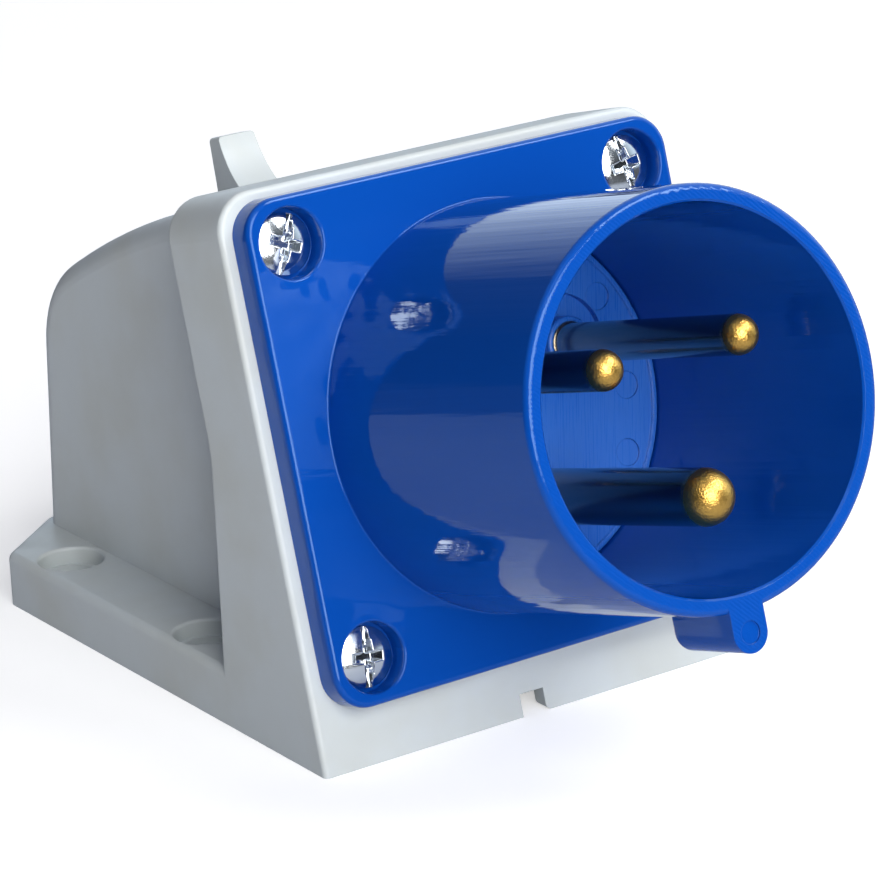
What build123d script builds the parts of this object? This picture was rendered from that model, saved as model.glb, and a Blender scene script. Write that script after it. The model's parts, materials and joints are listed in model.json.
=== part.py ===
from build123d import *
import math
import os

# Surface-mounting three-pin inlet: a shrouded pin unit on a sloping wall box.
# World frame: the wall base is Z = 0, the origin is the centre of the four wall holes,
# +Y runs to the rear of the box and the pins point to -Y and upwards.
# Face frame: x to the right, "up" along the sloping front face, "out" along the pins.

# Stance of the sloping face
FACE_TILT = 15.0
AXIS_UP_FACE = 39.35
FRONT_HOLE_SETBACK = 35.3

# Wall holes
HOLE_SIDE_INSET = 5.4218
HOLE_SPACING_Y = 35.0
WALL_HOLE_R = 2.4
COUNTERBORE_R = 4.4
COUNTERBORE_DEPTH = 2.3
COUNTERBORE_EDGE_R = 0.4
STEP_R = 3.7
STEP_DEPTH = 0.8
HOLE_BOSS_R = 5.4

# Blue moulding: plate, shroud and key in one
PLATE_SIZE = 63.4
PLATE_THICKNESS = 3.7
PLATE_CORNER_R = 4.6
PLATE_EDGE_R = 0.7
SHROUD_LENGTH = 42.3
SHROUD_INSET = 6.4
SHROUD_DRAFT = 0.7
SHROUD_ROOT_R = 0.2
RIM_WALL = 2.15
RIM_EDGE_R = 0.9
RIM_BORE_CHAMFER = 0.25
KEY_LENGTH = 13.0
KEY_WIDTH = 5.0
KEY_HEIGHT = 5.05
KEY_HEEL_R = 1.9
KEY_MARK_R = 1.4
COLLAR_DEPTH = 8.7
COLLAR_WALL = 1.6
SEAT_LEDGE = 2.6
SEAT_WIDTH = 1.9
SNAP_LENGTH = 1.4
SNAP_REACH = 0.9
SNAP_ANGLE = 14.0

# Housing moulding
MARGIN_SIDE = 1.6
MARGIN_TOP = 1.3
SIDE_DRAFT = 0.3
FRAME_DEPTH = 13.1
FRAME_CORNER_R = 5.2
FRAME_FRONT_EDGE_R = 0.7
FRAME_REAR_EDGE_R = 0.8
FRAME_HEEL_R = 26.0
FOOT_LENGTH = 23.2
FRONT_WALL = 2.2
WALL = 2.2
OPENING_CLEARANCE = 0.8
FLANGE_THICKNESS = 7.5
FLANGE_SIDE_LENGTH = 78.3
FLANGE_EDGE_R = 1.1
FLANGE_CORNER_R = 1.8
FLANGE_SKIN = 2.2
BODY_WIDTH = 46.2
BODY_LENGTH = 86.7
BODY_TOP_UP = 30.7
BODY_FLAT_LENGTH = 22.7
BODY_TOP_R = 157.0
BODY_REAR_R = 14.5
BODY_EDGE_R = 3.4
MOULD_DRAFT = 1.5
NOTCH_X = -1.95
NOTCH_WIDTH = 3.6
NOTCH_HEIGHT = 2.85
NOTCH_FLARE_R = 0.8
LUG_OUT = 51.1
LUG_TOP_UP = 38.2
LUG_TIP_R = 0.6
LUG_MIDDLE_UP = 32.8
LUG_FOOT_UP = 29.0
LUG_TIP_THICKNESS = 2.4
LUG_MIDDLE_THICKNESS = 4.5
LUG_FOOT_THICKNESS = 8.4
LUG_WIDTH = 5.6
LUG_DRAFT = 2.0
LUG_SINK = 2.6

# Cover screws and their bosses
SCREW_INSET = 5.9
SCREW_HEAD_R = 3.8
SCREW_HEAD_HEIGHT = 1.8
SCREW_HEAD_BAND = 0.4
SCREW_R = 1.95
SCREW_LENGTH = 13.0
SCREW_RECESS_R = 4.45
SCREW_RECESS_DEPTH = 2.9
SCREW_RECESS_EDGE_R = 0.3
SCREW_BOSS_R = 5.2
SCREW_SLOT_WIDTH = 1.0
SCREW_SLOT_DEPTH = 1.1
SCREW_CROSS_LENGTH = 4.8
SCREW_CROSS_WIDTH = 1.4
SCREW_CROSS_DEPTH = 1.5
CROSS_TIP_RATIO = 0.45
SCREW_ANGLES = (66.0, 100.0, 20.0, 84.0)
SHANK_CLEARANCE = 0.25
THREAD_CLEARANCE = 0.05

# Gasket under the plate
GASKET_THICKNESS = 0.8
GASKET_INSET = 1.4
GASKET_CLEARANCE = 0.1

# Pins
PIN_CIRCLE_R = 11.6
EARTH_PIN_R = 3.5
PHASE_PIN_R = 2.5
EARTH_TIP_BELOW_RIM = 0.4
PHASE_TIP_BELOW_RIM = 2.9
EARTH_BARREL_R = 4.6
PHASE_BARREL_R = 4.0
PIN_SHOULDER_WIDTH = 0.2
PIN_SHOULDER_PROUD = 0.1
PIN_COLLAR_WIDTH = 0.9
PIN_COLLAR_THICKNESS = 2.2
BARREL_LENGTH = 19.0
WIRE_HOLE_DEPTH = 15.5
BARREL_WALL = 2.0
PIN_CLEARANCE = 0.05

# Insulating carrier and retainer
CARRIER_PROUD = 0.2
CARRIER_GAP = 0.15
CARRIER_LIP_WIDTH = 0.8
CARRIER_LIP_PROUD = 0.25
CARRIER_LIP_BEVEL = 0.15
CARRIER_FLANGE_THICKNESS = 2.6
CARRIER_FLANGE_GAP = 0.3
CARRIER_HUB_R = 18.5
CARRIER_HUB_DEPTH = 5.0
SEAL_THICKNESS = 0.9
SEAL_CLEARANCE = 0.2
EARTH_RECESS_R = 5.1
PHASE_RECESS_R = 6.3
PIN_RECESS_DEPTH = 1.0
PIN_RING_WALL = 0.7
PIN_RING_PROUD = 1.9
PIN_RING_EDGE_R = 0.4
EJECTOR_MARK_R = 1.75
EJECTOR_MARK_DEPTH = 0.25
EJECTOR_MARKS = ((16.6, 10.5), (18.5, -1.4), (16.8, -9.8), (-16.6, 10.5), (-16.8, -9.8))
RETAINER_DISC = 3.0
CHIMNEY_WALL = 1.3
CHIMNEY_CLEARANCE = 0.3
COLLAR_CLEARANCE = 0.2
RETAINER_SCREW_R = 1.45
RETAINER_SCREW_LENGTH = 7.5
RETAINER_HEAD_R = 2.6
RETAINER_HEAD_HEIGHT = 1.7
RETAINER_HEAD_BAND = 0.55
RETAINER_CROSS_LENGTH = 3.1
PILOT_SPARE = 0.5

# Terminals
TERMINAL_SCREW_R = 1.75
TERMINAL_FIRST = 7.4
TERMINAL_PITCH = 6.2
TERMINAL_PROUD = 1.0
TERMINAL_ACCESS_R = 2.6
DRIVER_SLOT_WIDTH = 0.7
DRIVER_SLOT_DEPTH = 0.9
GUARD_THICKNESS = 0.5
GUARD_LENGTH = 11.0
GUARD_EDGE_GAP = 0.1

# Cable entry in the rear wall
ENTRY_R = 8.5
ENTRY_HEIGHT = 21.0
ENTRY_PAD_R = 11.8
ENTRY_PAD_PROUD = 0.5
ENTRY_PAD_THICKNESS = 3.9
GROMMET_LIP_R = 10.5
GROMMET_LIP = 1.6
GROMMET_TAIL = 1.4
GROMMET_CLEARANCE = 0.2
GROMMET_WALL = 1.1
GROMMET_STEP = 1.6
GROMMET_STEP_RADII = (7.4, 5.8, 4.2)

# How far a cutting shape runs past the face it opens, and a joined shape into its carrier
OVERCUT = 2.0
JOIN = 1.0

# Lengths closer than this are taken as equal
TOUCH = 0.001

SIN_TILT = math.sin(math.radians(FACE_TILT))
COS_TILT = math.cos(math.radians(FACE_TILT))
FOOT_Y = -(FRONT_HOLE_SETBACK + HOLE_SPACING_Y / 2)
AXIS_Y = FOOT_Y + AXIS_UP_FACE * SIN_TILT
AXIS_Z = AXIS_UP_FACE * COS_TILT
FACE = Plane(origin=(0, AXIS_Y, AXIS_Z), x_dir=(1, 0, 0), z_dir=(0, -COS_TILT, SIN_TILT))

SCREW_SPACING = PLATE_SIZE - 2 * SCREW_INSET
FRAME_HALF = PLATE_SIZE / 2 + MARGIN_SIDE
FRAME_TOP = PLATE_SIZE / 2 + MARGIN_TOP
BASE_HALF = FRAME_HALF + (AXIS_Z + FRAME_TOP) * math.tan(math.radians(SIDE_DRAFT))
HOLE_SPACING_X = 2 * (BASE_HALF - HOLE_SIDE_INSET)
RIM_OUT = PLATE_THICKNESS + SHROUD_LENGTH
SHROUD_RIM_R = PLATE_SIZE / 2 - SHROUD_INSET
BORE_R = SHROUD_RIM_R - RIM_WALL
SHROUD_ROOT_OUTER_R = SHROUD_RIM_R + SHROUD_LENGTH * math.tan(math.radians(SHROUD_DRAFT))
SEAT_OUT = PLATE_THICKNESS - SEAT_LEDGE
SEAT_R = BORE_R + SEAT_WIDTH
CARRIER_FACE_OUT = PLATE_THICKNESS + CARRIER_PROUD
CARRIER_FLANGE_OUT = SEAT_OUT - SEAL_THICKNESS
CARRIER_BACK_OUT = CARRIER_FLANGE_OUT - CARRIER_FLANGE_THICKNESS
HUB_BACK_OUT = CARRIER_BACK_OUT - CARRIER_HUB_DEPTH
RETAINER_BACK_OUT = HUB_BACK_OUT - RETAINER_DISC
BARREL_BACK_OUT = HUB_BACK_OUT - BARREL_LENGTH


class PinSpec:
    """Sizes and place of one contact pin."""

    def __init__(self, angle, radius, barrel_r, recess_r, tip_below_rim):
        self.angle = angle
        self.radius = radius
        self.barrel_r = barrel_r
        self.tip_out = RIM_OUT - tip_below_rim
        self.recess_r = recess_r
        self.shoulder_r = radius + PIN_SHOULDER_WIDTH
        self.ring_r = self.shoulder_r + PIN_RING_WALL
        self.collar_r = barrel_r + PIN_COLLAR_WIDTH
        self.wire_hole_r = barrel_r - BARREL_WALL

    def place(self):
        """Location of the pin axis in the face frame, with x pointing away from the centre."""
        return Rot(0, 0, self.angle) * Pos(PIN_CIRCLE_R, 0, 0)


PINS = {
    "earth": PinSpec(-90.0, EARTH_PIN_R, EARTH_BARREL_R, EARTH_RECESS_R, EARTH_TIP_BELOW_RIM),
    "live": PinSpec(150.0, PHASE_PIN_R, PHASE_BARREL_R, PHASE_RECESS_R, PHASE_TIP_BELOW_RIM),
    "neutral": PinSpec(30.0, PHASE_PIN_R, PHASE_BARREL_R, PHASE_RECESS_R, PHASE_TIP_BELOW_RIM),
}


def face_point(up, out):
    """Side-view (Y, Z) of a point given up the face and out along the pins."""
    return (AXIS_Y + up * SIN_TILT - out * COS_TILT, AXIS_Z + up * COS_TILT + out * SIN_TILT)


def face_point_at_height(height, out):
    """Side-view (Y, Z) of the point of a plane parallel to the face at a given height."""
    return face_point((height - AXIS_Z - out * SIN_TILT) / COS_TILT, out)


def face_point_at_depth(y, out):
    """Side-view (Y, Z) of the point of a plane parallel to the face at a given Y."""
    return face_point((y - AXIS_Y + out * COS_TILT) / SIN_TILT, out)


def on_face(shape):
    """Move a shape from the face frame to the world frame."""
    return FACE.location * shape


def side_slab(profile, half_width):
    """Extrude a side-view outline to both sides of the middle plane."""
    return extrude(Plane.YZ * profile, amount=half_width, both=True)


def rod(radius, start, end):
    """Cylinder along the face frame's z between two depths."""
    low, high = min(start, end), max(start, end)
    return Pos(0, 0, low) * Cylinder(radius, high - low, align=(Align.CENTER, Align.CENTER, Align.MIN))


def round_mouthed_hole(radius, edge_r, bottom, top):
    """Cutting shape of a round hole whose mouth at the top is rounded over."""
    mouth_r = radius + edge_r
    bulge = edge_r * (1 - math.sqrt(0.5))
    outline = make_face([
        Polyline((mouth_r, top), (mouth_r, top + OVERCUT), (0, top + OVERCUT), (0, bottom),
                 (radius, bottom), (radius, top - edge_r)),
        ThreePointArc((radius, top - edge_r), (radius + bulge, top - bulge), (mouth_r, top)),
    ])
    return revolve(Plane.XZ * outline, Axis.Z)


def leaning_prism(half_width, height, draft):
    """Prism along Y whose sides lean inwards going up and are half_width off centre at a height."""
    lean = math.tan(math.radians(draft))
    low = -OVERCUT - JOIN
    high = AXIS_Z + FRAME_TOP + OVERCUT
    low_half = half_width + lean * (height - low)
    high_half = half_width + lean * (height - high)
    section = make_face(Polyline(
        (-low_half, low), (low_half, low), (high_half, high), (-high_half, high), close=True))
    return extrude(Plane.XZ * section, amount=BODY_LENGTH + SHROUD_LENGTH, both=True)


def corner_spots():
    """Four screw centres, from top left clockwise, in the face frame."""
    half = SCREW_SPACING / 2
    return [Pos(-half, half, 0), Pos(half, half, 0), Pos(half, -half, 0), Pos(-half, -half, 0)]


def retainer_screw_spots():
    """Three screw centres, midway between the pins."""
    return [Rot(0, 0, angle) * Pos(PIN_CIRCLE_R, 0, 0) for angle in (90.0, -30.0, -150.0)]


# Housing


def frame_profile(wall, front_wall, bottom):
    """Side outline of the front frame with its upright foot, set in by a wall."""
    front, rear = -front_wall, wall - FRAME_DEPTH
    heel_y = FOOT_Y + FOOT_LENGTH - wall
    bend = face_point_at_depth(heel_y, rear)
    points = [
        face_point_at_height(bottom, front),
        face_point(FRAME_TOP - wall, front),
        face_point(FRAME_TOP - wall, rear),
        bend,
        (heel_y, bottom),
    ]
    outline = make_face(Polyline(*points, close=True))
    heel = outline.vertices().sort_by_distance((bend[0], bend[1], 0))[0]
    return fillet(heel, FRAME_HEEL_R)


def frame_sides():
    """The housing's leaning sides, which frame and flange share."""
    return leaning_prism(FRAME_HALF, AXIS_Z + FRAME_TOP, SIDE_DRAFT)


def frame_block():
    """Front frame: rounded square face that runs down to a foot on the wall base."""
    block = side_slab(frame_profile(0, 0, 0), BASE_HALF) & frame_sides()
    along_pins = Axis((0, 0, 0), (0, -COS_TILT, SIN_TILT))
    corners = block.edges().filter_by(
        lambda edge: abs(edge.length - FRAME_DEPTH) < SIDE_DRAFT and edge.center().Z > AXIS_Z)
    block = fillet(corners, FRAME_CORNER_R)
    front = block.faces().filter_by(along_pins).sort_by(along_pins)[-1]
    front_edges = front.edges().filter_by(lambda edge: edge.center().Z > FLANGE_THICKNESS)
    block = fillet(front_edges, FRAME_FRONT_EDGE_R)
    rear = block.faces().filter_by(along_pins).sort_by(along_pins)[0]
    rear_edges = rear.edges().filter_by(lambda edge: edge.center().Z > AXIS_Z)
    return fillet(rear_edges, FRAME_REAR_EDGE_R)


def body_profile(wall, bottom):
    """Side outline of the body: flat roof, long falling arc, rounded rear, drafted rear wall."""
    lean = math.tan(math.radians(MOULD_DRAFT))
    arc_r = BODY_TOP_R - wall
    arc_centre = face_point(BODY_TOP_UP - BODY_TOP_R, -BODY_FLAT_LENGTH)
    join_out = wall - FRAME_DEPTH + JOIN
    join_y = FOOT_Y + FOOT_LENGTH - WALL - JOIN
    start = face_point(BODY_TOP_UP - wall, join_out)
    tangent = face_point(BODY_TOP_UP - wall, -BODY_FLAT_LENGTH)
    base_y = FOOT_Y + BODY_LENGTH - wall

    # The arc meets the leaning rear wall where both equations hold
    a = 1 + lean * lean
    b = -2 * (lean * (base_y - arc_centre[0]) + arc_centre[1])
    c = (base_y - arc_centre[0]) ** 2 + arc_centre[1] ** 2 - arc_r ** 2
    rear_z = (-b + math.sqrt(b * b - 4 * a * c)) / (2 * a)
    rear_top = (base_y - lean * rear_z, rear_z)
    half_angle = (math.atan2(tangent[1] - arc_centre[1], tangent[0] - arc_centre[0])
                  + math.atan2(rear_top[1] - arc_centre[1], rear_top[0] - arc_centre[0])) / 2
    arc_middle = (arc_centre[0] + arc_r * math.cos(half_angle), arc_centre[1] + arc_r * math.sin(half_angle))

    outline = make_face([
        Polyline(rear_top, (base_y - lean * bottom, bottom), (join_y, bottom),
                 face_point_at_depth(join_y, join_out), start, tangent),
        ThreePointArc(tangent, arc_middle, rear_top),
    ])
    shoulder = outline.vertices().sort_by_distance((rear_top[0], rear_top[1], 0))[0]
    return fillet(shoulder, BODY_REAR_R - wall)


def body_block(wall, bottom):
    """Body behind the frame, with drafted sides, set in by a wall."""
    sides = leaning_prism(BODY_WIDTH / 2 - wall, FLANGE_THICKNESS, MOULD_DRAFT)
    return side_slab(body_profile(wall, bottom), FRAME_HALF) & sides


def rounded_body():
    """Outer body with its long edges and rear corners rounded."""
    body = body_block(0, 0)
    left = body.faces().sort_by(Axis.X)[0]
    right = body.faces().sort_by(Axis.X)[-1]
    front_y = body.vertices().sort_by(Axis.Y)[0].Y
    long_edges = (left.edges() + right.edges()).filter_by(
        lambda edge: edge.center().Z > OVERCUT and edge.center().Y > front_y + OVERCUT)
    return fillet(long_edges, BODY_EDGE_R)


def flange_block():
    """Flat base flange, as wide as the frame, with its rear corners cut off."""
    rear_y = FOOT_Y + BODY_LENGTH
    side_y = FOOT_Y + FLANGE_SIDE_LENGTH
    front_y = FOOT_Y + FOOT_LENGTH / 2
    half = BODY_WIDTH / 2
    plan = make_face(Polyline(
        (-BASE_HALF, front_y), (BASE_HALF, front_y), (BASE_HALF, side_y), (half, rear_y),
        (-half, rear_y), (-BASE_HALF, side_y), close=True))
    block = extrude(plan, amount=FLANGE_THICKNESS) & frame_sides()
    corners = block.edges().filter_by(
        lambda edge: abs(edge.center().Y - side_y) < SIDE_DRAFT
        and abs(edge.length - FLANGE_THICKNESS) < SIDE_DRAFT)
    block = fillet(corners, FLANGE_CORNER_R)
    top = block.faces().sort_by(Axis.Z)[-1].edges().filter_by(
        lambda edge: abs(edge.center().X) > half and edge.center().Y > front_y + FLANGE_CORNER_R)
    return fillet(top, FLANGE_EDGE_R)


def lug():
    """Retaining lug on the roof: upright rear, thin tip, front sweeping down and forward."""
    rear = -LUG_OUT
    tip = face_point(LUG_TOP_UP, rear + LUG_TIP_THICKNESS)
    middle = face_point(LUG_MIDDLE_UP, rear + LUG_MIDDLE_THICKNESS)
    foot = face_point(LUG_FOOT_UP, rear + LUG_FOOT_THICKNESS)
    sunk = LUG_FOOT_UP - LUG_SINK
    outline = make_face([
        Polyline(foot, face_point(sunk, rear + LUG_FOOT_THICKNESS), face_point(sunk, rear),
                 face_point(LUG_TOP_UP, rear), tip),
        ThreePointArc(tip, middle, foot),
    ])
    blade = side_slab(outline, LUG_WIDTH) & leaning_prism(LUG_WIDTH / 2, tip[1], LUG_DRAFT)
    top_edges = blade.edges().filter_by(
        lambda edge: abs(edge.length - LUG_TIP_THICKNESS) < TOUCH and edge.center().Z > middle[1])
    return fillet(top_edges, LUG_TIP_R)


def notch():
    """Drain notch at the foot of the front face, its right lower corner rounded off."""
    left = NOTCH_X - NOTCH_WIDTH / 2
    right = NOTCH_X + NOTCH_WIDTH / 2
    flare = NOTCH_FLARE_R
    bulge = flare * (1 - math.sqrt(0.5))
    outline = make_face([
        Polyline((right, flare), (right, NOTCH_HEIGHT), (left, NOTCH_HEIGHT), (left, -OVERCUT),
                 (right + flare, -OVERCUT), (right + flare, 0)),
        ThreePointArc((right, flare), (right + bulge, bulge), (right + flare, 0)),
    ])
    return Pos(0, FOOT_Y + FRONT_WALL + OVERCUT, 0) * extrude(
        Plane.XZ * outline, amount=FRONT_WALL + 2 * OVERCUT)


def wall_hole_spots():
    """Four wall hole centres on the base."""
    return [Pos(x * HOLE_SPACING_X / 2, y * HOLE_SPACING_Y / 2, 0) for x in (-1, 1) for y in (-1, 1)]


def wall_hole():
    """Stepped hole for a wall screw, with a rounded mouth at the flange's top."""
    ledge = FLANGE_THICKNESS - COUNTERBORE_DEPTH
    hole = round_mouthed_hole(COUNTERBORE_R, COUNTERBORE_EDGE_R, ledge, FLANGE_THICKNESS)
    hole += rod(STEP_R, ledge - STEP_DEPTH, FLANGE_THICKNESS)
    return hole + rod(WALL_HOLE_R, -OVERCUT, FLANGE_THICKNESS)


def flange_pockets():
    """Cored pockets under each flange, between the two hole bosses, with a rib in the middle."""
    inner = BODY_WIDTH / 2
    width = FRAME_HALF - WALL - inner
    length = (HOLE_SPACING_Y - 2 * HOLE_BOSS_R - WALL) / 2
    depth = FLANGE_THICKNESS - FLANGE_SKIN
    pocket = Box(width, length, depth + OVERCUT, align=(Align.CENTER, Align.CENTER, Align.MIN))
    x = inner + width / 2
    y = (length + WALL) / 2
    return [Pos(side * x, end * y, -OVERCUT) * pocket for side in (-1, 1) for end in (-1, 1)]


def rear_pad_y():
    """Y of the flat seat that the cable grommet lies against."""
    return FOOT_Y + BODY_LENGTH + ENTRY_PAD_PROUD


def rear_rod(radius, start, end):
    """Cylinder along Y at the cable entry, between two Y values."""
    return Pos(0, end, ENTRY_HEIGHT) * (Plane.XZ.location * rod(radius, 0, end - start))


def housing():
    """One-piece box: frame, body, base flange and lug, hollow and open at the wall."""
    shell = frame_block() + rounded_body() + flange_block() + lug()
    pad_y = rear_pad_y()
    shell += rear_rod(ENTRY_PAD_R, pad_y - ENTRY_PAD_THICKNESS, pad_y)

    cavity = side_slab(frame_profile(WALL, FRONT_WALL, -OVERCUT), FRAME_HALF - WALL)
    cavity += body_block(WALL, -OVERCUT) - rear_rod(
        ENTRY_PAD_R, pad_y - ENTRY_PAD_THICKNESS, pad_y)
    shell -= cavity

    boss = rod(SCREW_BOSS_R, JOIN - FRONT_WALL, WALL - JOIN - FRAME_DEPTH)
    for spot in corner_spots():
        shell += on_face(spot * boss)
    shell -= on_face(rod(gasket_hole_r(), OVERCUT, -FRONT_WALL - OVERCUT))
    shell -= on_face(Pos(0, 0, -GASKET_THICKNESS) * extrude(
        RectangleRounded(gasket_size() + 2 * GASKET_CLEARANCE, gasket_size() + 2 * GASKET_CLEARANCE,
                         PLATE_CORNER_R - GASKET_INSET), amount=GASKET_THICKNESS + OVERCUT))
    tapped = rod(SCREW_R + THREAD_CLEARANCE, OVERCUT, -SCREW_LENGTH + SCREW_RECESS_DEPTH)
    for spot in corner_spots():
        shell -= on_face(spot * tapped)

    for spot in wall_hole_spots():
        shell -= spot * wall_hole()
    for pocket in flange_pockets():
        shell -= pocket
    shell -= rear_rod(ENTRY_R, pad_y - ENTRY_PAD_THICKNESS - OVERCUT, pad_y + OVERCUT)
    return shell - notch()


def gasket_size():
    """Outer side of the square face gasket."""
    return PLATE_SIZE - 2 * GASKET_INSET


def gasket_hole_r():
    """Radius of the round opening in the housing's face and in the gasket."""
    return SEAT_R + COLLAR_WALL + OPENING_CLEARANCE


def face_gasket():
    """Flat gasket let into the housing's face under the plate."""
    size = gasket_size()
    gasket = Pos(0, 0, -GASKET_THICKNESS) * extrude(
        RectangleRounded(size, size, PLATE_CORNER_R - GASKET_INSET), amount=GASKET_THICKNESS)
    gasket -= rod(gasket_hole_r(), OVERCUT, -OVERCUT)
    for spot in corner_spots():
        gasket -= spot * rod(SCREW_R + SHANK_CLEARANCE, OVERCUT, -OVERCUT)
    return on_face(gasket)


# Blue moulding


def shroud_tube():
    """Drafted tube of the shroud with a rounded outer rim and a small bore chamfer."""
    wall = make_face(Polyline(
        (BORE_R, SEAT_OUT), (SHROUD_ROOT_OUTER_R, SEAT_OUT), (SHROUD_ROOT_OUTER_R, PLATE_THICKNESS),
        (SHROUD_RIM_R, RIM_OUT), (BORE_R, RIM_OUT), close=True))
    tube = revolve(Plane.XZ * wall, Axis.Z)
    rim = tube.faces().sort_by(Axis.Z)[-1].edges().sort_by(lambda edge: edge.length)
    tube = fillet(rim[-1], RIM_EDGE_R)
    rim = tube.faces().filter_by(Axis.Z).sort_by(Axis.Z)[-1].edges().sort_by(lambda edge: edge.length)
    return chamfer(rim[0], RIM_BORE_CHAMFER)


def key():
    """Polarising key under the shroud at its rim: straight sides, round outer end, rounded heel."""
    end_centre = -(SHROUD_RIM_R + KEY_HEIGHT - KEY_WIDTH / 2)
    root = -(BORE_R + SHROUD_RIM_R) / 2
    straight = Pos(0, (root + end_centre) / 2) * Rectangle(KEY_WIDTH, root - end_centre)
    section = straight + Pos(0, end_centre) * Circle(KEY_WIDTH / 2)
    bar = Pos(0, 0, RIM_OUT - KEY_LENGTH) * extrude(section, amount=KEY_LENGTH)
    heel = bar.faces().sort_by(Axis.Z)[0].edges().filter_by(
        lambda edge: edge.center().Y < -SHROUD_ROOT_OUTER_R)
    bar = fillet(heel, KEY_HEEL_R)
    return bar - Pos(0, end_centre, 0) * rod(KEY_MARK_R, RIM_OUT - EJECTOR_MARK_DEPTH, RIM_OUT + OVERCUT)


def snap_noses():
    """Three noses inside the rear collar that hold the carrier's flange."""
    ring = rod(SEAT_R + COLLAR_WALL / 2, CARRIER_BACK_OUT, CARRIER_BACK_OUT - SNAP_LENGTH)
    ring -= rod(SEAT_R - SNAP_REACH, OVERCUT, -COLLAR_DEPTH)
    reach = SEAT_R + COLLAR_WALL
    wedge_width = 2 * reach * math.sin(math.radians(SNAP_ANGLE / 2))
    wedge = Box(reach, wedge_width, 2 * COLLAR_DEPTH, align=(Align.MIN, Align.CENTER, Align.CENTER))
    return [ring & (Rot(0, 0, angle) * wedge) for angle in (90.0, 210.0, 330.0)]


def inlet_shroud():
    """Square plate, round shroud, key and rear collar, moulded in one piece."""
    plate = extrude(RectangleRounded(PLATE_SIZE, PLATE_SIZE, PLATE_CORNER_R), amount=PLATE_THICKNESS)
    plate = fillet(plate.faces().sort_by(Axis.Z)[-1].edges(), PLATE_EDGE_R)
    plate -= rod(BORE_R, SEAT_OUT, PLATE_THICKNESS + OVERCUT)
    plate -= rod(SEAT_R, -OVERCUT, SEAT_OUT)
    body = plate + shroud_tube()
    root = body.edges().filter_by(GeomType.CIRCLE).filter_by(
        lambda edge: abs(edge.radius - SHROUD_ROOT_OUTER_R) < TOUCH
        and abs(edge.center().Z - PLATE_THICKNESS) < TOUCH)
    body = fillet(root, SHROUD_ROOT_R)
    body += key()
    body += rod(SEAT_R + COLLAR_WALL, JOIN, -COLLAR_DEPTH) - rod(SEAT_R, OVERCUT, -COLLAR_DEPTH)
    for nose in snap_noses():
        body += nose
    head_recess = round_mouthed_hole(
        SCREW_RECESS_R, SCREW_RECESS_EDGE_R, PLATE_THICKNESS - SCREW_RECESS_DEPTH, PLATE_THICKNESS)
    shank_hole = rod(SCREW_R + SHANK_CLEARANCE, -OVERCUT, PLATE_THICKNESS)
    for spot in corner_spots():
        body -= spot * head_recess
        body -= spot * shank_hole
    return on_face(body)


# Pins, carrier and retainer


def contact_pin(spec):
    """Turned brass pin: round-nosed shank, collar and drilled terminal barrel."""
    collar_front = HUB_BACK_OUT + PIN_COLLAR_THICKNESS
    shoulder_front = CARRIER_FACE_OUT + PIN_RING_PROUD + PIN_SHOULDER_PROUD
    pin = rod(spec.radius, shoulder_front, spec.tip_out - spec.radius)
    pin += rod(spec.shoulder_r, collar_front, shoulder_front)
    pin += Pos(0, 0, spec.tip_out - spec.radius) * Sphere(spec.radius)
    pin += rod(spec.collar_r, HUB_BACK_OUT, collar_front)
    pin += rod(spec.barrel_r, BARREL_BACK_OUT, HUB_BACK_OUT)
    pin -= rod(spec.wire_hole_r, BARREL_BACK_OUT - OVERCUT, BARREL_BACK_OUT + WIRE_HOLE_DEPTH)
    for out in terminal_depths():
        tapped = Rot(0, 90, 0) * rod(TERMINAL_SCREW_R + THREAD_CLEARANCE, 0, spec.collar_r)
        pin -= Pos(0, 0, out) * tapped
    return on_face(spec.place() * pin)


def terminal_depths():
    """Places of the two terminal screws along each barrel."""
    return [HUB_BACK_OUT - TERMINAL_FIRST - step * TERMINAL_PITCH for step in (0, 1)]


def terminal_screws(spec):
    """Two slotted screws that press the wire in one barrel."""
    start = guard_outer(spec)
    end = spec.barrel_r + TERMINAL_PROUD
    screw = rod(TERMINAL_SCREW_R, start, end)
    screw -= Pos(0, 0, end) * Box(2 * spec.barrel_r, DRIVER_SLOT_WIDTH, 2 * DRIVER_SLOT_DEPTH)
    lying = Rot(0, 90, 0) * screw
    return Compound([on_face(spec.place() * Pos(0, 0, out) * lying) for out in terminal_depths()])


def guard_outer(spec):
    """Distance from the barrel's axis to the wire guard's outer face."""
    return spec.wire_hole_r - GUARD_THICKNESS - GUARD_EDGE_GAP


def wire_guard(spec):
    """Strip under the two terminal screws that keeps them off the wire."""
    outer = guard_outer(spec)
    chord = 2 * math.sqrt(spec.wire_hole_r ** 2 - outer ** 2) - 2 * GUARD_EDGE_GAP
    middle = sum(terminal_depths()) / 2
    strip = Box(GUARD_THICKNESS, chord, GUARD_LENGTH, align=(Align.MAX, Align.CENTER, Align.CENTER))
    return on_face(spec.place() * Pos(outer, 0, middle) * strip)


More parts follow.
